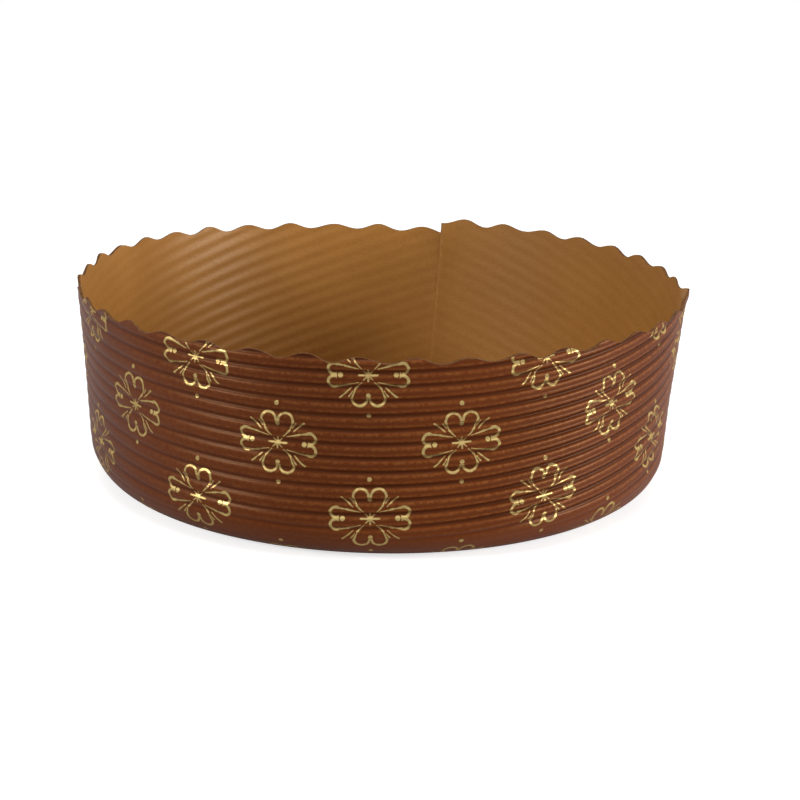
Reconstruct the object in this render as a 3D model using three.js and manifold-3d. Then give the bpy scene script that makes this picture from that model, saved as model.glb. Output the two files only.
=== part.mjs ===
// A low, round paper baking mold.
//
// The side wall is one curved blank, cut out of a sheet of straight-fluted, greaseproof-lined paper.
// Wrapped into a flaring ring, lapped on itself and glued, it carries the flutes round the mold as
// ribs that lie level at the blank's middle and climb to the rim towards its two ends. The top edge
// is die-cut in scallops. The bottom edge turns in round a soft corner and lies flat as a pleated
// foot. The base is a disc of the same paper, glued down inside on that foot.
//
// Millimetres, +Z up, the origin on the axis in the plane that the foot stands on.

import * as THREE from 'three';
import { mergeVertices } from 'three/addons/utils/BufferGeometryUtils.js';
import Module from 'manifold-3d';

const wasm = await Module();
wasm.setup();

// The wall: its overall form.
const rimDiameter = 185;
const footDiameter = 173.4; // where the wall's outer line would meet the floor with a sharp corner
const rimHeight = 59.3; // floor to the middle of the scallops
const cornerRadius = 12.5;
const footWidth = 15; // the flat turned-in edge

// The wall: its paper.
const sheetThickness = 0.8; // liner and pressed flutes together
const ribPitch = 4.1;
const ribDepth = 0.7; // crest to groove on the outside
const linerRipple = 0.2; // how far the flutes show through on the inside, crest to groove
const ribCrestShare = 0.4; // the share of the pitch that a crest's flat top takes
const firstRibDrop = 2.2; // at the blank's middle, from the rim line down to the first crest
const ribFade = 8; // the length over which the corner presses the ribs flat
const ribReach = 6; // how far round the corner the last of them runs

// The wall: its scalloped edge and its glued lap.
const scallopCount = 39;
const scallopDepth = 1.8; // peak to valley
const firstScallop = 0.55; // the share of a scallop from the blank's inner end to its first peak
const seamAzimuth = 77; // degrees from +X to the blank's inner end
const lapLength = 18;
const lapNesting = 0.15; // how far the outer layer's liner presses into the inner layer
const lapEasing = 9; // degrees past the lap, over which its flattened ribs rise again
const innerEndRise = 1.8; // how far the inner end stands above the rim line
const innerEndReach = 150; // degrees over which the edge comes down from it
const outerEndDrop = 1.7; // how far the outer end lies below the rim line
const outerEndReach = 75; // degrees over which the edge goes down to it

// The foot's pleats.
const pleatCount = 44;
const pleatDepth = 0.3;
const pleatWidth = 1.2;

// The base.
const glueGap = 0.3; // between the base and the foot, and between the base and the corner
const discThickness = 0.6;
const discFlutePitch = 4.1;
const discFluteDepth = 0.7;
const ventDiameter = 2.6;
const ventCount = 6;
const ventCircleDiameter = 84;

// Fineness of the curved surfaces.
const wallSegments = 39; // in one turn
const scallopSegments = 6; // in one scallop
const cornerSegments = 4;
const discSegments = 72;
const ventSegments = 10;

// What follows from them.
const lean = Math.atan((rimDiameter - footDiameter) / 2 / rimHeight);
const cornerCentre = footDiameter / 2 + cornerRadius * Math.tan(lean) - cornerRadius / Math.cos(lean);
const lapAngle = lapLength / (rimDiameter / 2);
const scallopAngle = (2 * Math.PI) / scallopCount;
const layerStep = sheetThickness - linerRipple / 2 - lapNesting;
const turn = 2 * Math.PI;
const blankAngle = turn + lapAngle; // the wall's own angle, from its inner end to its outer end

const printedPaper = new THREE.MeshStandardMaterial({ color: 0x6b3a1c, roughness: 0.4, metalness: 0 });
const kraftPaper = new THREE.MeshStandardMaterial({ color: 0x8a5a30, roughness: 0.8, metalness: 0 });

// A closed geometry as a solid that can be joined and cut. Where points of the geometry coincide,
// the faces between them have shrunk to nothing and are left out.
function solid(geometry) {
  geometry.deleteAttribute('normal');
  geometry.deleteAttribute('uv');
  const merged = mergeVertices(geometry, 1e-5);
  const faces = [];
  for (let k = 0; k < merged.index.count; k += 3) {
    const [a, b, c] = merged.index.array.slice(k, k + 3);
    if (a !== b && b !== c && c !== a) faces.push(a, b, c);
  }
  return new wasm.Manifold(new wasm.Mesh({
    numProp: 3,
    vertProperties: new Float32Array(merged.attributes.position.array),
    triVerts: new Uint32Array(faces),
  }));
}

// A finished solid as a named mesh.
function part(name, body, material) {
  const cut = body.getMesh();
  const geometry = new THREE.BufferGeometry();
  geometry.setAttribute('position', new THREE.BufferAttribute(cut.vertProperties, 3));
  geometry.setIndex(new THREE.BufferAttribute(cut.triVerts, 1));
  geometry.computeVertexNormals();
  const mesh = new THREE.Mesh(geometry, material);
  mesh.name = name;
  return mesh;
}

// Angles from the first stop to the last, through every stop, in even steps no longer than given.
function filled(stops, longest) {
  const angles = [stops[0]];
  for (let k = 1; k < stops.length; k++) {
    const steps = Math.ceil(Math.abs(stops[k] - stops[k - 1]) / longest - 1e-6);
    for (let step = 1; step <= steps; step++) {
      angles.push(THREE.MathUtils.lerp(stops[k - 1], stops[k], step / steps));
    }
  }
  return angles;
}

// A closed section carried clockwise round the axis through a list of falling angles, with flat
// ends. section(angle) gives the same number of [radius, height] points at every angle, in
// counterclockwise order.
function carried(section, angles) {
  const rings = angles.map((angle) => section(angle).map(([radius, z]) => new THREE.Vector3(
    radius * Math.cos(angle), radius * Math.sin(angle), z)));
  const across = rings[0].length;
  const faces = [];
  for (let step = 0; step < rings.length - 1; step++) {
    for (let k = 0; k < across; k++) {
      const a = step * across + k;
      const b = step * across + ((k + 1) % across);
      faces.push(a, b, b + across, a, b + across, a + across);
    }
  }
  for (const [ring, front, back] of [[0, 1, 2], [rings.length - 1, 2, 1]]) {
    const outline = section(angles[ring]).map(([radius, z]) => new THREE.Vector2(radius, z));
    const corners = outline.map((point, k) => k)
      .filter((k) => outline[k].distanceTo(outline[(k + 1) % across]) > 1e-6);
    const end = THREE.ShapeUtils.triangulateShape(corners.map((k) => outline[k]), []);
    for (const face of end) {
      for (const side of [0, back, front]) faces.push(ring * across + corners[face[side]]);
    }
  }
  const geometry = new THREE.BufferGeometry().setFromPoints(rings.flat());
  geometry.setIndex(faces);
  return geometry;
}

// The outer line of the paper, straight down the wall, round the corner and in along the foot, as
// the point that lies a given length below the middle of the scallops, moved out of the paper.
const straightLength = (rimHeight - cornerRadius * (1 - Math.sin(lean))) / Math.cos(lean);
const cornerLength = cornerRadius * (Math.PI / 2 - lean);

function paperPoint(length, proud) {
  if (length < straightLength) {
    return [
      rimDiameter / 2 - length * Math.sin(lean) + proud * Math.cos(lean),
      rimHeight - length * Math.cos(lean) - proud * Math.sin(lean),
    ];
  }
  const turned = Math.min((length - straightLength) / cornerRadius, cornerLength / cornerRadius);
  const slope = lean + turned;
  const flat = Math.max(length - straightLength - cornerLength, 0);
  return [
    cornerCentre + (cornerRadius + proud) * Math.cos(slope) - flat,
    cornerRadius - (cornerRadius + proud) * Math.sin(slope),
  ];
}

// The blank lies flat as a piece of a ring round the cone's apex. A flute is a straight line there,
// at one distance from the apex at the blank's middle and further from it towards the ends. Given as
// lengths below the rim line: where the flute that has the length middle at the blank's middle runs.
const apexLength = rimDiameter / 2 / Math.sin(lean);

function fluteLength(middle, along) {
  const flatAngle = (along - blankAngle / 2) * Math.sin(lean);
  return apexLength - (apexLength - middle) / Math.cos(flatAngle);
}

const sheetTop = -(scallopDepth + innerEndRise + ribPitch); // above the knife's highest cut
const ribEnd = straightLength + ribReach;
const ribCount = Math.ceil(
  (apexLength - (apexLength - ribEnd) * Math.cos((blankAngle / 2) * Math.sin(lean))) / ribPitch);

// A point of the ribbed stretch. Flutes that have left it at its top or its end lie on its edges,
// where the ribs have no height. The corner and the lap's outer layer press them flat too.
function ribPoint(middle, along, height, depth) {
  const length = THREE.MathUtils.clamp(fluteLength(middle, along), sheetTop, ribEnd);
  const inside = length > sheetTop && length < ribEnd;
  const pastLap = THREE.MathUtils.radToDeg(along - lapAngle) / lapEasing;
  const left = THREE.MathUtils.clamp(Math.min((ribEnd - length) / ribFade, pastLap), 0, 1);
  return paperPoint(length, inside ? height * left - depth : -depth);
}

// The section of the wall at one place along the blank: the ribbed outside from the top down, the
// corner and the foot, and the liner back up.
function wallSection(along) {
  const outside = [];
  const liner = [];
  for (let rib = Math.floor(sheetTop / ribPitch) - 1; rib <= ribCount; rib++) {
    const crest = firstRibDrop + rib * ribPitch;
    const groove = crest + ribPitch / 2;
    outside.push(ribPoint(crest - (ribCrestShare / 2) * ribPitch, along, ribDepth / 2, 0));
    outside.push(ribPoint(crest + (ribCrestShare / 2) * ribPitch, along, ribDepth / 2, 0));
    outside.push(ribPoint(groove, along, -ribDepth / 2, 0));
    liner.push(ribPoint(crest, along, linerRipple / 2, sheetThickness));
    liner.push(ribPoint(groove, along, -linerRipple / 2, sheetThickness));
  }
  const flatStart = straightLength + cornerLength;
  for (let step = 0; step <= cornerSegments; step++) {
    const length = ribEnd + ((flatStart - ribEnd) * step) / cornerSegments;
    outside.push(paperPoint(length, 0));
    liner.push(paperPoint(length, -sheetThickness));
  }
  outside.push(paperPoint(flatStart + footWidth, 0));
  liner.push(paperPoint(flatStart + footWidth, -sheetThickness));
  return [...outside, ...liner.reverse()].reverse();
}

// The blank starts at its inner end, runs clockwise seen from above, and is one layer further out
// after a full turn, where it passes behind its own start.
function azimuth(along) {
  return THREE.MathUtils.degToRad(seamAzimuth) - along;
}

function wallPiece(stops) {
  const layered = (angle) => {
    const along = azimuth(0) - angle;
    return wallSection(along).map(([radius, z]) => [radius + (layerStep * along) / turn, z]);
  };
  return solid(carried(layered, filled(stops.map(azimuth), turn / wallSegments)));
}

// What the scallop knife takes away: everything above a wave along a rim line that comes down from
// the blank's inner end and goes down to its outer end. It runs from one whole scallop to another.
function eased(share) {
  const t = THREE.MathUtils.clamp(share, 0, 1);
  return t * t * (3 - 2 * t);
}

function scallopWave(along) {
  const rise = innerEndRise * eased(1 - along / THREE.MathUtils.degToRad(innerEndReach));
  const drop = outerEndDrop * eased(1 - (turn - along) / THREE.MathUtils.degToRad(outerEndReach));
  const wave = (scallopDepth / 2) * Math.cos(scallopCount * along - firstScallop * turn);
  return rimHeight + rise - drop + wave;
}

function scallopOffcut(first, last) {
  const inner = rimDiameter / 2 - 10 * sheetThickness;
  const outer = rimDiameter / 2 + 10 * sheetThickness;
  const above = rimHeight - 2 * sheetTop;
  const wave = (angle) => {
    const z = scallopWave(azimuth(0) - angle);
    return [[inner, z], [outer, z], [outer, above], [inner, above]];
  };
  const ends = [azimuth(first * scallopAngle), azimuth(last * scallopAngle)];
  return solid(carried(wave, filled(ends, scallopAngle / scallopSegments)));
}

// Small radial folds pressed into the underside of the foot.
function pleats() {
  const notch = new THREE.Shape([
    new THREE.Vector2(-pleatWidth / 2, -pleatDepth),
    new THREE.Vector2(pleatWidth / 2, -pleatDepth),
    new THREE.Vector2(0, pleatDepth),
  ]);
  const length = 2 * footWidth;
  const folds = [];
  for (let k = 0; k < pleatCount; k++) {
    const fold = new THREE.ExtrudeGeometry(notch, { depth: length, bevelEnabled: false });
    fold.rotateX(Math.PI / 2);
    fold.translate(0, cornerCentre, 0);
    fold.rotateZ((k * turn) / pleatCount);
    folds.push(solid(fold));
  }
  return wasm.Manifold.union(folds);
}

// The wall is made in two lengths, because its two ends pass each other in the lap, where both have
// the same facets. The knife runs one scallop past both ends of each length. Where the lengths meet,
// rounding can leave an empty sliver inside the paper, so only the paper itself is kept.
function sideWall() {
  const middle = Math.floor(scallopCount / 2);
  const last = Math.ceil(blankAngle / scallopAngle);
  const half = middle * scallopAngle;
  const firstLength = wallPiece([0, lapAngle, half]).subtract(scallopOffcut(-1, middle + 1));
  const secondLength = wallPiece([half, turn, blankAngle])
    .subtract(scallopOffcut(middle - 1, last + 1));
  const lengths = firstLength.add(secondLength).decompose();
  const [wall] = lengths.sort((one, other) => other.volume() - one.volume());
  return wall.subtract(pleats());
}

// The base: a fluted sheet, cut round, standing on the foot, clear of the corner by the glue gap.
// The corner's flat facets lie a little inside the true curve, so the base clears those.
function baseDisc() {
  const bottom = sheetThickness + glueGap;
  const innerCorner = cornerRadius - sheetThickness;
  const drop = cornerRadius - bottom;
  const facetsRound = (footDiameter / 2) * (1 - Math.cos(Math.PI / wallSegments));
  const facetsUp = innerCorner * (1 - Math.cos(cornerLength / cornerRadius / cornerSegments / 2));
  const cornerFace = cornerCentre + Math.sqrt((innerCorner - facetsUp) ** 2 - drop ** 2) - facetsRound;
  const radius = cornerFace - glueGap;
  const flutes = Math.ceil(radius / discFlutePitch) + 1;
  const lower = [];
  const upper = [];
  for (let half = -2 * flutes; half <= 2 * flutes; half++) {
    const z = bottom + (half % 2 === 0 ? 0 : discFluteDepth);
    lower.push(new THREE.Vector2((half * discFlutePitch) / 2, z));
    upper.push(new THREE.Vector2((half * discFlutePitch) / 2, z + discThickness));
  }
  const profile = new THREE.Shape([...lower, ...upper.reverse()]);
  const sheet = new THREE.ExtrudeGeometry(profile, { depth: 2.2 * radius, bevelEnabled: false });
  sheet.translate(0, 0, -1.1 * radius);
  sheet.rotateX(Math.PI / 2);
  const knife = new THREE.CylinderGeometry(radius, radius, 4 * bottom + 4 * discFluteDepth, discSegments);
  knife.rotateX(Math.PI / 2);
  let disc = solid(sheet).intersect(solid(knife));
  for (let k = 0; k <= ventCount; k++) {
    const vent = new THREE.CylinderGeometry(ventDiameter / 2, ventDiameter / 2, 20, ventSegments);
    vent.rotateX(Math.PI / 2);
    if (k > 0) {
      vent.translate(ventCircleDiameter / 2, 0, 0);
      vent.rotateZ((k * turn) / ventCount);
    }
    disc = disc.subtract(solid(vent));
  }
  return disc;
}

const mold = new THREE.Group();
mold.name = 'paper_baking_mold';
mold.add(part('side_wall', sideWall(), printedPaper));
mold.add(part('base_disc', baseDisc(), kraftPaper));

export default mold;
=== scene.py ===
"""A paper baking mold: a fluted, printed paper wall with a scalloped edge, and a fluted base glued
down inside it. Sizes are worked out in millimetres and go into the meshes in metres."""

import math

import bpy
import numpy as np
from mathutils import Matrix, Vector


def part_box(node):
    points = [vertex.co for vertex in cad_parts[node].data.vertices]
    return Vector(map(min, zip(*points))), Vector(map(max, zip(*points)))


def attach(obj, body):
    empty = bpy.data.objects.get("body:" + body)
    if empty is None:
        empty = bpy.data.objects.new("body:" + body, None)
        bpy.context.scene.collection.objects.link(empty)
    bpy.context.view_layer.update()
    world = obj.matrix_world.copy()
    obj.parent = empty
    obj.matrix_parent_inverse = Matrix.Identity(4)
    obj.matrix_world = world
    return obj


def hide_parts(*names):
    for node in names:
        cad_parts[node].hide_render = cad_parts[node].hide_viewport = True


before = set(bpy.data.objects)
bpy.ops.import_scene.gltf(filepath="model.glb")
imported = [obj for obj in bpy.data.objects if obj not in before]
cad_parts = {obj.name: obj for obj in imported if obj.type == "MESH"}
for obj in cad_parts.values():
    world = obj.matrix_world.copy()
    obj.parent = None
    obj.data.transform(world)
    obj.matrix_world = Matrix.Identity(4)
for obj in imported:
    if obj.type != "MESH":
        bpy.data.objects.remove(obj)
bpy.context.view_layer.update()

# The side wall: one curved blank of straight-fluted, greaseproof-lined kraft paper. It is wrapped
# into a flaring ring, lapped on itself and glued, die-cut in scallops along the top, and turned in
# at the bottom round a soft corner into a flat, pleated foot.

low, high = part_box("side_wall")
ribs_outside = 0.6  # how far the ribs stand out of the wall's own line
taper = 5.8  # how much narrower that line is where it would meet the floor with a sharp corner
rim_radius = 500 * (high.x - low.x) - ribs_outside
rim_height = 59.3
corner_radius = 12.5
foot_width = 15.0
fold_count = 44
fold_rise = 0.3
sheet_thickness = 0.8
rib_pitch = 4.1
rib_depth = 0.72
liner_ripple = 0.22
first_rib = 2.0  # down the flat sheet
turn = 2 * math.pi
lap = math.radians(11.15)
seam_azimuth = math.radians(77)  # of the blank's inner end
sheet_lean = math.radians(6.73)  # of the cone that the print and the flutes unroll from
level_along = math.radians(185)  # where the flutes run level round the mold
scallop_count = 39
scallop_pitch = 9.2411  # in degrees, like the next line
first_scallop = 5.04
scallop_height = 0.9  # above and below the middle of the edge
inner_end_rise = 1.8
outer_end_drop = 1.7
edge_band = 8.0  # how far down the edge pulls the rows with it
layer_step = 0.62
end_peel = 0.5
end_crush = 0.45
end_skew = math.radians(1.1)
left_dent = 0.9
foot_bulge = 1.1
flared_scallop = 1.7

lean = math.atan(taper / rim_height)
straight_length = (rim_height - corner_radius * (1 - math.sin(lean))) / math.cos(lean)
corner_length = corner_radius * (math.pi / 2 - lean)
flat_start = straight_length + corner_length


def eased(share):
    """Goes softly from 0 to 1 as its argument does: 3t² - 2t³."""
    share = np.clip(share, 0, 1)
    return share * share * (3 - 2 * share)


def hump(value, middle, width):
    """A soft hump of height 1: e to the power of less the square of the way off its middle, counted
    in widths."""
    return np.exp(-(((value - middle) / width) ** 2))


def paper_line(length, proud):
    """Radius and height of the wall's outer line at a length below the rim line: straight down the
    cone, then round the corner by length over corner radius, then level inwards along the foot. The
    point is moved out of the paper by proud, square to that line."""
    slope = lean + np.clip((length - straight_length) / corner_radius, 0, corner_length / corner_radius)
    down = np.minimum(length, straight_length)
    flat = np.maximum(length - flat_start, 0)
    radius = rim_radius - down * math.sin(lean) - flat
    radius = radius + corner_radius * (np.cos(slope) - math.cos(lean)) + proud * np.cos(slope)
    height = rim_height - down * math.cos(lean)
    height = height - corner_radius * (np.sin(slope) - math.sin(lean)) - proud * np.sin(slope)
    return radius, height


def flat_sheet(along, length):
    """Where the same point lay on the flat sheet that the blank was cut from, as millimetres to the
    right and down: the wall unrolls round the cone's apex, by its angle times the sine of the lean,
    and the flutes run straight to the right there."""
    apex = rim_radius / math.sin(sheet_lean)
    angle = (along - level_along) * math.sin(sheet_lean)
    return -(apex - length) * np.sin(angle), apex - (apex - length) * np.cos(angle)


def rim_line(along):
    """Height of the scalloped edge: the rim line, a slow rise to the blank's inner end, a drop to its
    outer end, a slight swell before that drop, and one cosine wave to a scallop. The waves' places
    drift by a squared sine and two humps, and their sizes vary by two sines."""
    degrees = np.degrees(along)
    rise = inner_end_rise * eased(1 - degrees / 150)
    drop = outer_end_drop * eased(1 - (360 - degrees) / 75)
    swell = 0.6 * hump(degrees, 287, 26)
    even = (degrees - first_scallop) / scallop_pitch
    drift = 0.15 * np.sin(np.pi * even / (scallop_count - 1)) ** 2
    scallop = even + drift + 0.2 * hump(degrees, 308, 35) - 0.12 * hump(degrees, 68, 28)
    size = scallop_height + 0.16 * np.sin(3.1 * scallop) + 0.1 * np.sin(1.3 * scallop + 2)
    return rim_height + rise - drop + swell + size * np.cos(turn * scallop)


def rib_strength(right, down):
    """How strongly the ribs stand out at a place on the flat sheet, about 1: a little more towards
    the right, by a hyperbolic tangent, varied by two sines, and pressed at one place on the left."""
    pressed = 0.55 * hump(right, -48, 20) * np.exp(-(((down - 28) / 17) ** 4))
    varied = 0.1 * np.sin(right / 23 + down / 17 + 2) + 0.07 * np.sin(right / 9 - 1)
    return (0.92 + 0.16 * np.tanh(right / 40) + varied) * (1 - pressed)


def handled(along, height):
    """How far handling moved the wall outwards: waves of 5 and 17 to the turn and a dent on the left,
    all growing with the height, and two bulges just over the foot, at the front and on the right."""
    degrees = np.degrees(along)
    waves = 0.12 * np.sin(5 * along) + 0.08 * np.sin(17 * along + 2)
    dent = left_dent * hump(degrees, 257, 32)
    bulge = foot_bulge * (hump(degrees, 182, 35) + 0.7 * hump(degrees, 92, 18))
    over_foot = eased((32 - height) / 24) * eased(height / 4 + 0.3)
    return (waves - dent) * eased(height / 50) + bulge * over_foot


def gathered(azimuth, length):
    """How far the foot's folds rise: evenly spaced round it, each a narrow hump across, with a sine
    of its number for its size, and setting in where the corner ends."""
    fold = (azimuth - math.pi / 2) * fold_count / turn
    number = np.round(fold)
    size = 0.75 + 0.25 * np.sin(7.3 * number)
    return fold_rise * size * hump(5.2 * (fold - number), 0, 1) * eased((length - flat_start + 3) / 5)


def wall_surface(along, base, inside):
    """A point of the wall for an angle along the blank and a base length below the edge, with its
    place on the flat sheet and how strongly the ribs show there. The edge pulls its band of rows up
    or down to the rim line, by a square. The ribs are a cosine over the flat sheet, wavering by two
    sines, fade out in the corner and lie flat in the lap. On the liner they are faint. The inner end
    of the lap lies a layer further in, peels off, is cut askew and crushed at its very edge, and one
    scallop at the far right flares out."""
    degrees = np.degrees(along)
    edge_share = np.clip(1 - base / edge_band, 0, 1) ** 2
    length = base + (rim_height - rim_line(along)) / math.cos(lean) * edge_share
    right, down = flat_sheet(along, length)
    waver = 0.16 * np.sin(right / 31 + down / 9) + 0.1 * np.sin(right / 12.7 - down / 5 + 1)
    flute = (down + waver - first_rib) / rib_pitch
    past_lap = degrees - math.degrees(lap)
    fade = eased((straight_length + 6 - length) / 9)
    relief = fade * rib_strength(right, down) * eased((past_lap + 1.5) / 5)
    if inside:
        shown = fade * (0.35 + 0.9 * hump(degrees, 316, 22))
        crushed = end_crush * np.clip(1 - degrees / 0.5, 0, 1)
        proud = liner_ripple / 2 * np.cos(turn * flute) * shown - sheet_thickness + crushed
    else:
        proud = rib_depth / 2 * np.cos(turn * flute) * relief
    layer = layer_step * eased(1 - past_lap / 35)
    peel = end_peel * eased(1 - degrees / 4) * eased(1 - length / 45)
    radius, height = paper_line(length, proud - layer - peel)
    flare = flared_scallop * hump(degrees, 79.5, 3) * edge_share
    radius = radius + handled(along, height) + flare
    askew = end_skew * np.clip(length / 48, 0, 1) * eased(1 - degrees / 25)
    azimuth = seam_azimuth - along + askew
    height = height + gathered(azimuth, length)
    place = np.stack([radius * np.cos(azimuth), radius * np.sin(azimuth), height], axis=-1)
    return place, np.stack([right, down, flute], axis=-1), relief


def closed_loop(one_side, other_side):
    """Points of both sides of a sheet, in rings that run along the one and back along the other."""
    return np.concatenate([one_side, other_side[:, ::-1]], axis=1)


def loop_faces(rings, across):
    """Four corners to a face between rings of points: a point, the next in its ring, and the same two
    in the ring after it."""
    first = np.arange(rings - 1)[:, None] * across + np.arange(across)
    after = np.arange(rings - 1)[:, None] * across + (np.arange(across) + 1) % across
    return np.stack([first, after, after + across, first + across], axis=-1).reshape(-1, 4)


def new_mesh(name, places, faces):
    """A mesh of places in millimetres."""
    mesh = bpy.data.meshes.new(name)
    mesh.from_pydata((0.001 * places.reshape(-1, 3)).tolist(), [], faces)
    return mesh


def placed(name, data):
    """Puts a mesh, a lamp or a camera into the scene."""
    thing = bpy.data.objects.new(name, data)
    bpy.context.scene.collection.objects.link(thing)
    return thing


def smoothed(mesh):
    """Shades a mesh smooth, but for the sharp edges where the paper is cut."""
    mesh.shade_smooth()
    mesh.set_sharp_from_angle(angle=math.radians(62))


columns = scallop_count * 11
lap_columns = round(columns * lap / turn)
along = np.linspace(0, turn + lap, columns + lap_columns + 1)
along = np.concatenate([np.radians([0, 0.25, 0.5]), along[1:]])[:, None]
ribbed_length = 53.3
rib_rows = np.linspace(0, ribbed_length, 119)
foot_rows = np.linspace(ribbed_length, flat_start + foot_width, 25)[1:]
outside_rows = np.concatenate([rib_rows, foot_rows])
liner_rows = outside_rows[::2]
outside = wall_surface(along, outside_rows, False)
liner = wall_surface(along, liner_rows, True)
loop, loop_sheet, loop_relief = map(closed_loop, outside, liner)

rings, across = loop.shape[:2]
facing_out = [0, 3, 2, 1]
faces = loop_faces(rings, across)[:, facing_out].tolist()
steps = np.arange(len(liner_rows) - 1)
back = across - 1 - steps
end = np.stack([2 * steps, 2 * steps + 1, 2 * steps + 2, back - 1, back], axis=-1)
faces += end.tolist() + (end[:, ::-1] + (rings - 1) * across).tolist()

printed, lined, rim_cut, inner_end_cut_painted_highlight = range(4)  # the order in which the wall gets its finishes
finish = np.full(across, lined)
finish[: len(outside_rows) - 1] = printed
finish[[len(outside_rows) - 1, across - 1]] = rim_cut
finishes = np.tile(finish, rings - 1).tolist() + [inner_end_cut_painted_highlight] * len(end) + [rim_cut] * len(end)

wall_mesh = new_mesh("side_wall_paper", loop, faces)
wall_mesh.attributes.new("sheet", "FLOAT_VECTOR", "POINT").data.foreach_set("vector", loop_sheet.ravel())
wall_mesh.attributes.new("relief", "FLOAT", "POINT").data.foreach_set("value", loop_relief.ravel())
wall_mesh.polygons.foreach_set("material_index", finishes)
smoothed(wall_mesh)
wall = placed("side_wall_paper", wall_mesh)


class Wire:
    """A socket in a material. + - * / with it add Math nodes, vector() and mix() work on vectors and
    colours, and node() adds any other kind of node."""

    def __init__(self, tree, socket=None):
        self.tree, self.socket = tree, socket

    def node(self, kind, settings=None, sockets=None, output=0):
        """Adds a node, makes its settings, fills its sockets by name or number, gives an output."""
        made = self.tree.nodes.new(kind)
        for name, value in (settings or {}).items():
            setattr(made, name, value)
        for name, value in (sockets or {}).items():
            if isinstance(value, Wire):
                self.tree.links.new(value.socket, made.inputs[name])
            else:
                made.inputs[name].default_value = value
        return Wire(self.tree, made.outputs[output])

    def maths(self, operation, *others):
        return self.node("ShaderNodeMath", {"operation": operation}, dict(enumerate((self, *others))))

    def vector(self, operation, *others, output="Vector"):
        sockets = dict(enumerate((self, *others)))
        return self.node("ShaderNodeVectorMath", {"operation": operation}, sockets, output)

    def mix(self, one, other):
        """Goes from one colour or vector to another as this wire goes from 0 to 1. The node takes
        colours at its sockets 6 and 7 and gives theirs at output 2."""
        return self.node("ShaderNodeMix", {"data_type": "RGBA"}, {0: self, 6: one, 7: other}, 2)

    def __add__(self, other):
        return self.maths("ADD", other)

    def __sub__(self, other):
        return self.maths("SUBTRACT", other)

    def __rsub__(self, other):
        return self.maths("MULTIPLY_ADD", -1, other)

    def __mul__(self, other):
        return self.maths("MULTIPLY", other)

    def __truediv__(self, other):
        return self.maths("DIVIDE", other)

    def __abs__(self):
        return self.maths("ABSOLUTE")

    __radd__ = __add__
    __rmul__ = __mul__

    def axis(self, name):
        """The X, Y or Z of the vector that this wire holds."""
        return self.node("ShaderNodeSeparateXYZ", {}, {0: self}, name)

    def clamped(self, low, high):
        """0 where this wire is at low, 1 where it is at high, and in proportion in between."""
        return self.node("ShaderNodeMapRange", {}, {"Value": self, "From Min": low, "From Max": high})

    def noise(self, scale, detail=2):
        """Noise at the place that this wire holds, from about 0.3 to 0.7."""
        return self.node("ShaderNodeTexNoise", {}, {"Vector": self, "Scale": scale, "Detail": detail})


def new_material(name):
    """An empty finish: its material, its Principled shader, and the place on the object as a wire."""
    material = bpy.data.materials.new(name)
    material.use_nodes = True
    place = Wire(material.node_tree).node("ShaderNodeTexCoord", output="Object")
    return material, material.node_tree.nodes["Principled BSDF"], place


def connect(wire, shader, name):
    """Leads a wire into one of the shader's sockets."""
    wire.tree.links.new(wire.socket, shader.inputs[name])


def paper_grain(place, strength, below=None):
    """The paper's own surface, as a bump: fine fibres over a softer unevenness. It lies on the
    normal below, where that is given."""
    height = place.noise(2400, 3) + 1.6 * place.noise(500, 2)
    sockets = {"Strength": strength, "Distance": 0.0001, "Height": height}
    if below:
        sockets["Normal"] = below
    return place.node("ShaderNodeBump", {}, sockets)


def ornament(place):
    """How deep a place lies inside the ornament's lines, in millimetres: four heart-outlined petals
    round a small star, fine strokes between them, and a dot in each petal and over and under it
    all. One quarter is worked out and mirrored, so x and y count from its middle, without sign."""
    folded = place.vector("ABSOLUTE")
    x, y = folded.axis("X"), folded.axis("Y")

    def disc(centre, radius):
        """The radius less the distance to the centre."""
        return radius - folded.vector("DISTANCE", (*centre, 0), output="Value")

    def stroke(start, end, width):
        """Half the width, which runs out towards the end, less the distance to a straight line."""
        reach = (end[0] - start[0], end[1] - start[1], 0)
        span = folded.vector("SUBTRACT", (*start, 0))
        share = span.vector("DOT_PRODUCT", reach, output="Value") / (reach[0] ** 2 + reach[1] ** 2)
        share = share.maths("MAXIMUM", 0).maths("MINIMUM", 1)
        nearest = share.vector("MULTIPLY", reach)
        return width / 2 - 0.3 * width * share - span.vector("DISTANCE", nearest, output="Value")

    def ring(centre, radius, width, beyond):
        """Half the width less the distance to a circle, kept where beyond is above 0."""
        off = abs(folded.vector("DISTANCE", (*centre, 0), output="Value") - radius)
        return (width / 2 - off).maths("MINIMUM", beyond)

    lines = [
        ring((2.4, 6.6), 2.1, 0.62, y - 6.4),
        stroke((4.48, 6.5), (3.5, 3.9), 0.56),
        stroke((3.5, 3.9), (1.7, 1.9), 0.5),
        ring((9.1, 1.8), 1.6, 0.7, x - 8.4),
        stroke((9.2, 3.38), (6.2, 2.9), 0.68),
        stroke((6.2, 2.9), (2.6, 1.9), 0.54),
        stroke((7.6, 6.3), (4.6, 3.6), 0.5),
        stroke((5.2, 5.9), (4.2, 4.5), 0.42),
        stroke((0, 0), (2.6, 0.1), 0.5),
        stroke((0, 0), (1.3, 1.2), 0.5),
        stroke((0, 0), (0.1, 1.6), 0.5),
        disc((0, 0), 0.5),
        disc((7.45, 0), 0.66),
        disc((0, 5.6), 0.62),
        disc((0, 11.6), 0.6),
    ]
    deepest = lines[0]
    for line in lines[1:]:
        deepest = deepest.maths("MAXIMUM", line)
    return deepest


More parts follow.
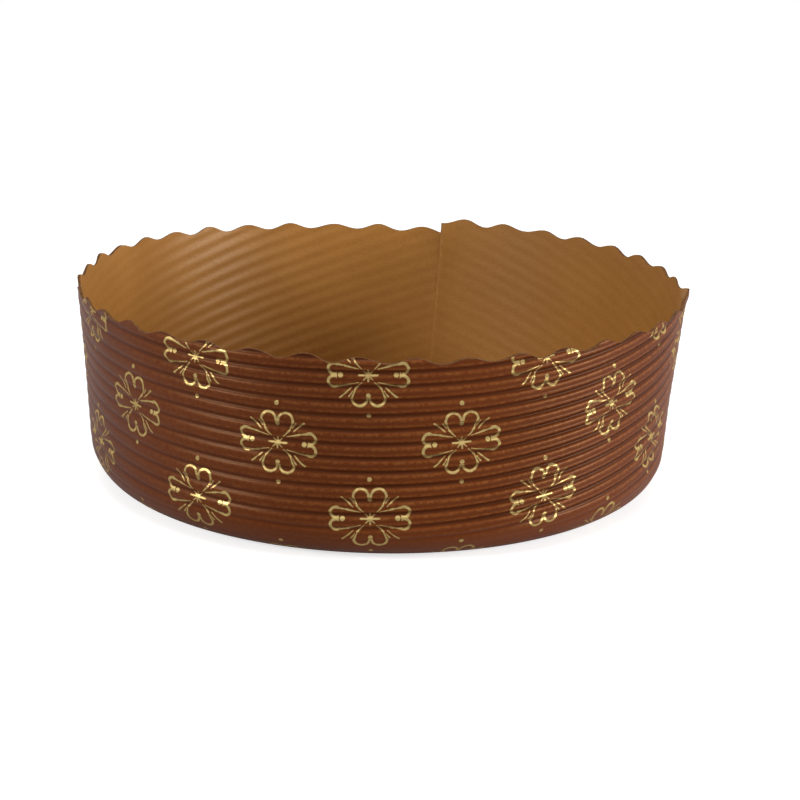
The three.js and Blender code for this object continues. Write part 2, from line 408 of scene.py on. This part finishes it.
def half_drop(sheet, first, column, row):
    """Sets an ornament out on the sheet, the columns in between half a row lower: the place counted
    from the middle of the diamond that it lies in."""
    cell = (2 * column, 2 * row, 1)

    def from_nearest(middle):
        """The place counted from the nearest of the middles that repeat by a whole cell."""
        cells = sheet.vector("SUBTRACT", (*middle, 0)).vector("DIVIDE", cell)
        nearest = cells.vector("ADD", (0.5, 0.5, 0)).vector("FLOOR")
        return cells.vector("SUBTRACT", nearest).vector("MULTIPLY", cell)

    one = from_nearest(first)
    other = from_nearest((first[0] + column, first[1] + row))
    reach = one.vector("ABSOLUTE").vector("DOT_PRODUCT", (1 / column, 1 / row, 0), output="Value")
    return reach.maths("GREATER_THAN", 1).mix(one, other)


def printed_paper():
    """Brown ink with a soft gloss, and gold ornaments. Along the ridges a painted highlight of paler
    ink, stronger to the right; in the grooves painted shade, near-black ink and dimmer gold. Each
    rib's crest is pressed in along its middle, so that two narrow ridges stand on it: the crest is
    a cosine of the flute and the pair of ridges a cosine of twice that, stronger to the right."""
    dark_ink = (0.084, 0.016, 0.003, 1)
    light_ink = (0.112, 0.024, 0.0042, 1)
    # Paler, pinkish ink for the painted highlight along the ridges.
    ridge_highlight_ink = (0.27, 0.1, 0.026, 1)
    # Near-black ink for the painted shade in the grooves.
    groove_shade_ink = (0.03, 0.006, 0.0015, 1)
    gold_ink = (0.46, 0.34, 0.13, 1)
    first_flower, column_step, half_row_step = (26.4, 46.1), 25.134, 20.8

    material, shader, place = new_material("printed_paper")
    sheet = place.node("ShaderNodeAttribute", {"attribute_name": "sheet"}, output="Vector")
    relief = place.node("ShaderNodeAttribute", {"attribute_name": "relief"}, output="Fac")
    right, flute = sheet.axis("X"), sheet.axis("Z")
    crest = relief * (turn * flute).maths("COSINE")
    pair = -1 * relief * (2 * turn * flute).maths("COSINE")
    pair = pair * (0.45 + 0.55 * right.clamped(-45, 35))
    ridge = 0.4 * crest + 0.75 * pair
    pressed = place.node("ShaderNodeBump", {}, {"Strength": 1, "Distance": 0.0002, "Height": pair})

    spread = place.noise(9, 3).clamped(0.35, 0.65)
    speck = place.noise(900, 2)
    # Painted highlight: paler ink along the ridges, stronger to the right, broken up by speckle.
    ridge_highlight = 0.45 * ridge.clamped(-0.2, 1) * speck.clamped(0.35, 0.65)
    ink = ridge_highlight.mix(spread.mix(dark_ink, light_ink), ridge_highlight_ink)
    # Painted shade: the ink goes near-black in the grooves.
    ink = (0.75 * ridge.clamped(0, -1.1)).mix(ink, groove_shade_ink)
    flat = sheet.vector("MULTIPLY", (1, 1, 0))
    depth = ornament(half_drop(flat, first_flower, column_step, half_row_step))
    # Gold worn away in specks, and dimmed in the grooves as painted shade.
    wear_and_groove_shade = speck.clamped(0.3, 0.5) * 0.35 + 0.65 - 0.45 * ridge.clamped(-0.2, -1)
    gold = (depth + 0.16 * (speck - 0.5)).clamped(-0.1, 0.06) * wear_and_groove_shade

    connect(gold.mix(ink, gold_ink), shader, "Base Color")
    connect(0.7 * gold, shader, "Metallic")
    connect(0.28 + 0.14 * speck, shader, "Roughness")
    connect(paper_grain(place, 0.3, pressed), shader, "Normal")
    shader.inputs["Specular IOR Level"].default_value = 0.19
    shader.inputs["Specular Tint"].default_value = (1, 0.66, 0.38, 1)
    return material


def kraft_paper():
    """Bare greaseproof-lined kraft with a dull sheen, level fibres and faint blotches."""
    dark_kraft = (0.285, 0.127, 0.028, 1)
    light_kraft = (0.33, 0.15, 0.034, 1)
    fibre_brown = (0.21, 0.086, 0.018, 1)

    material, shader, place = new_material("kraft_paper")
    fibres = place.vector("MULTIPLY", (1, 1, 3)).noise(1100, 3)
    colour = place.noise(28, 3).clamped(0.35, 0.65).mix(dark_kraft, light_kraft)
    colour = (0.5 * fibres.clamped(0.5, 0.72)).mix(colour, fibre_brown)
    connect(colour, shader, "Base Color")
    connect(0.3 + 0.25 * fibres, shader, "Roughness")
    connect(paper_grain(place, 0.4), shader, "Normal")
    shader.inputs["Specular IOR Level"].default_value = 0.3
    shader.inputs["Specular Tint"].default_value = (1, 0.85, 0.65, 1)
    return material


def cut_paper(name, dark, light):
    """A cut edge, where the middle of the sheet shows between ink and liner."""
    material, shader, place = new_material(name)
    fibres = place.noise(1500, 3)
    connect(fibres.clamped(0.35, 0.65).mix(dark, light), shader, "Base Color")
    connect(0.7 + 0.2 * fibres, shader, "Roughness")
    shader.inputs["Specular IOR Level"].default_value = 0.1
    return material


kraft = kraft_paper()
wall_mesh.materials.append(printed_paper())
wall_mesh.materials.append(kraft)
wall_mesh.materials.append(cut_paper("rim_cut", (0.08, 0.03, 0.009, 1), (0.16, 0.075, 0.028, 1)))
# The inner end's cut edge: the middle of the sheet, painted much paler than at the rim as a painted
# highlight along the seam.
wall_mesh.materials.append(cut_paper("inner_end_cut_painted_highlight", (0.4, 0.22, 0.12, 1), (0.62, 0.4, 0.26, 1)))
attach(wall, "root")
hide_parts("side_wall")

# The base: a disc of the same fluted paper, unprinted, glued down on the turned-in foot, with its
# flutes running straight from front to back and seven punched vents that let steam out.

low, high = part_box("base_disc")
disc_radius = 500 * (high.x - low.x)
disc_bottom = 1000 * low.z
flute_pitch = 4.1
flute_depth = 0.7
disc_thickness = 0.6
short_of_side = 0.01  # in radians: right at its side, a column would shrink to a point
vent_radius = 1.3
vent_circle_radius = 42.0
vents_on_circle = 6
vent_sides = 24
punch_length = 10.0


def disc_surface(lift):
    """Straight columns from front to back of a circle, sin and cos of an angle from left to right,
    on a wave along the columns, cos(2πx / pitch)."""
    angle = np.linspace(-1, 1, 601)[:, None] * (math.pi / 2 - short_of_side)
    x = disc_radius * np.sin(angle)
    y = disc_radius * np.cos(angle) * np.linspace(-1, 1, 13)
    flute = flute_depth / 2 * (1 + np.cos(turn * x / flute_pitch))
    place = np.broadcast_arrays(x, y, disc_bottom + flute + lift)
    return np.stack(place, axis=-1)


def circle(radius, points):
    """Points evenly round a circle, cos and sin of their angle."""
    angle = np.arange(points) * turn / points
    return radius * np.stack([np.cos(angle), np.sin(angle)], axis=-1)


def vent_punches():
    """Round punches that stand on the floor and go through the base, one in the middle and the rest
    on a circle: a small circle round each of their middles, at the foot and the top of the punch."""
    middles = np.concatenate([[(0, 0)], circle(vent_circle_radius, vents_on_circle)])
    rounds = middles[:, None, None] + circle(vent_radius, vent_sides)
    rounds = np.broadcast_to(rounds, (len(middles), 2, vent_sides, 2))
    heights = np.broadcast_to([[0], [punch_length]], rounds.shape[:3])
    places = np.concatenate([rounds, heights[..., None]], axis=-1)
    lower = np.arange(len(middles))[:, None] * 2 * vent_sides + np.arange(vent_sides)
    after = np.roll(lower, -1, axis=1)
    sides = np.stack([lower, after, after + vent_sides, lower + vent_sides], axis=-1)
    faces = sides.reshape(-1, 4).tolist() + lower[:, ::-1].tolist() + (lower + vent_sides).tolist()
    return new_mesh("vent_punches", places, faces)


def punched(whole_mesh, punch_mesh):
    """The mesh with the room of the punches taken out of it."""
    whole = placed("base_before_vents", whole_mesh)
    punches = placed("vent_punches", punch_mesh)
    cut = whole.modifiers.new("vents", "BOOLEAN")
    cut.object = punches
    result = bpy.data.meshes.new_from_object(whole.evaluated_get(bpy.context.evaluated_depsgraph_get()))
    bpy.data.objects.remove(whole)
    bpy.data.objects.remove(punches)
    return result


loop = closed_loop(disc_surface(0), disc_surface(disc_thickness))
rings, across = loop.shape[:2]
faces = loop_faces(rings, across).tolist()
steps = np.arange(across // 2 - 1)
end = np.stack([steps, across - 1 - steps, across - 2 - steps, steps + 1], axis=-1)
faces += end.tolist() + (end[:, ::-1] + (rings - 1) * across).tolist()

disc_mesh = punched(new_mesh("base_before_vents", loop, faces), vent_punches())
smoothed(disc_mesh)
disc_mesh.materials.append(kraft)
disc = placed("fluted_base", disc_mesh)
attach(disc, "root")
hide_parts("base_disc")

# The setting: a white floor that runs into a white background, soft light from above and both
# sides, and the camera where the photograph was taken from, a little above the rim.

floor_half = 4000.0
floor_corners = floor_half * np.array([(-1, -1, 0), (1, -1, 0), (1, 1, 0), (-1, 1, 0)])
floor_mesh = new_mesh("floor", floor_corners, [(0, 1, 2, 3)])
floor = placed("floor", floor_mesh)


def white_floor():
    """White card. For the camera it also glows, so that it is white there and keeps its shadow."""
    material, shader, place = new_material("white_floor")
    seen = place.node("ShaderNodeLightPath", output="Is Camera Ray")
    connect(place.noise(40).mix((0.6, 0.6, 0.6, 1), (0.62, 0.62, 0.62, 1)), shader, "Base Color")
    connect((0.68 * seen).mix((0, 0, 0, 1), (1, 1, 1, 1)), shader, "Emission Color")
    shader.inputs["Roughness"].default_value = 0.9
    shader.inputs["Emission Strength"].default_value = 1
    return material


floor_mesh.materials.append(white_floor())

world = bpy.data.worlds.new("studio")
world.use_nodes = True
bpy.context.scene.world = world
air = Wire(world.node_tree)
shown_to = ("Is Camera Ray", "Is Glossy Ray", "Is Transmission Ray")
camera_ray, glossy_ray, through_ray = (air.node("ShaderNodeLightPath", output=ray) for ray in shown_to)
direct = camera_ray.maths("MAXIMUM", glossy_ray).maths("MAXIMUM", through_ray)
sky = direct.mix((0.33, 0.33, 0.33, 1), (1, 1, 1, 1))
world.node_tree.links.new(sky.socket, world.node_tree.nodes["Background"].inputs["Color"])


def soft_lamp(name, azimuth, elevation, distance, size, power):
    """A square soft box that faces the mold, at an azimuth from +X and an elevation in degrees."""
    lamp = bpy.data.lights.new(name, "AREA")
    lamp.size = size
    lamp.energy = power
    turned = Matrix.Rotation(math.radians(azimuth + 90), 4, "Z")
    raised = Matrix.Rotation(math.radians(90 - elevation), 4, "X")
    placed(name, lamp).matrix_world = turned @ raised @ Matrix.Translation((0, 0, distance))


soft_lamp("right_lamp", -18, 11, 1.1, 0.5, 14)
soft_lamp("left_lamp", 213, 23, 1.2, 0.24, 7)
soft_lamp("top_lamp", 270, 78, 1.3, 0.8, 7)

photo_side = 800  # in pixels, like the next two lines
focal_length = 2194.632
aimed_across, aimed_down = 377.3733, 382.0166
camera_distance = 0.67916
camera_elevation = 0.27332976
camera_roll = 0.02773628
target_height = 0.02775

lens = bpy.data.cameras.new("camera")
lens.sensor_width = 36
lens.lens = focal_length / photo_side * lens.sensor_width
lens.shift_x = (photo_side / 2 - aimed_across) / photo_side
lens.shift_y = (aimed_down - photo_side / 2) / photo_side
lens.clip_start = 0.01
camera = placed("camera", lens)
target = Matrix.Translation((0, 0, target_height))
raised = Matrix.Rotation(math.pi / 2 - camera_elevation, 4, "X")
rolled = Matrix.Rotation(camera_roll, 4, "Z")
camera.matrix_world = target @ raised @ rolled @ Matrix.Translation((0, 0, camera_distance))
bpy.context.scene.camera = camera
bpy.context.scene.view_settings.view_transform = "Standard"
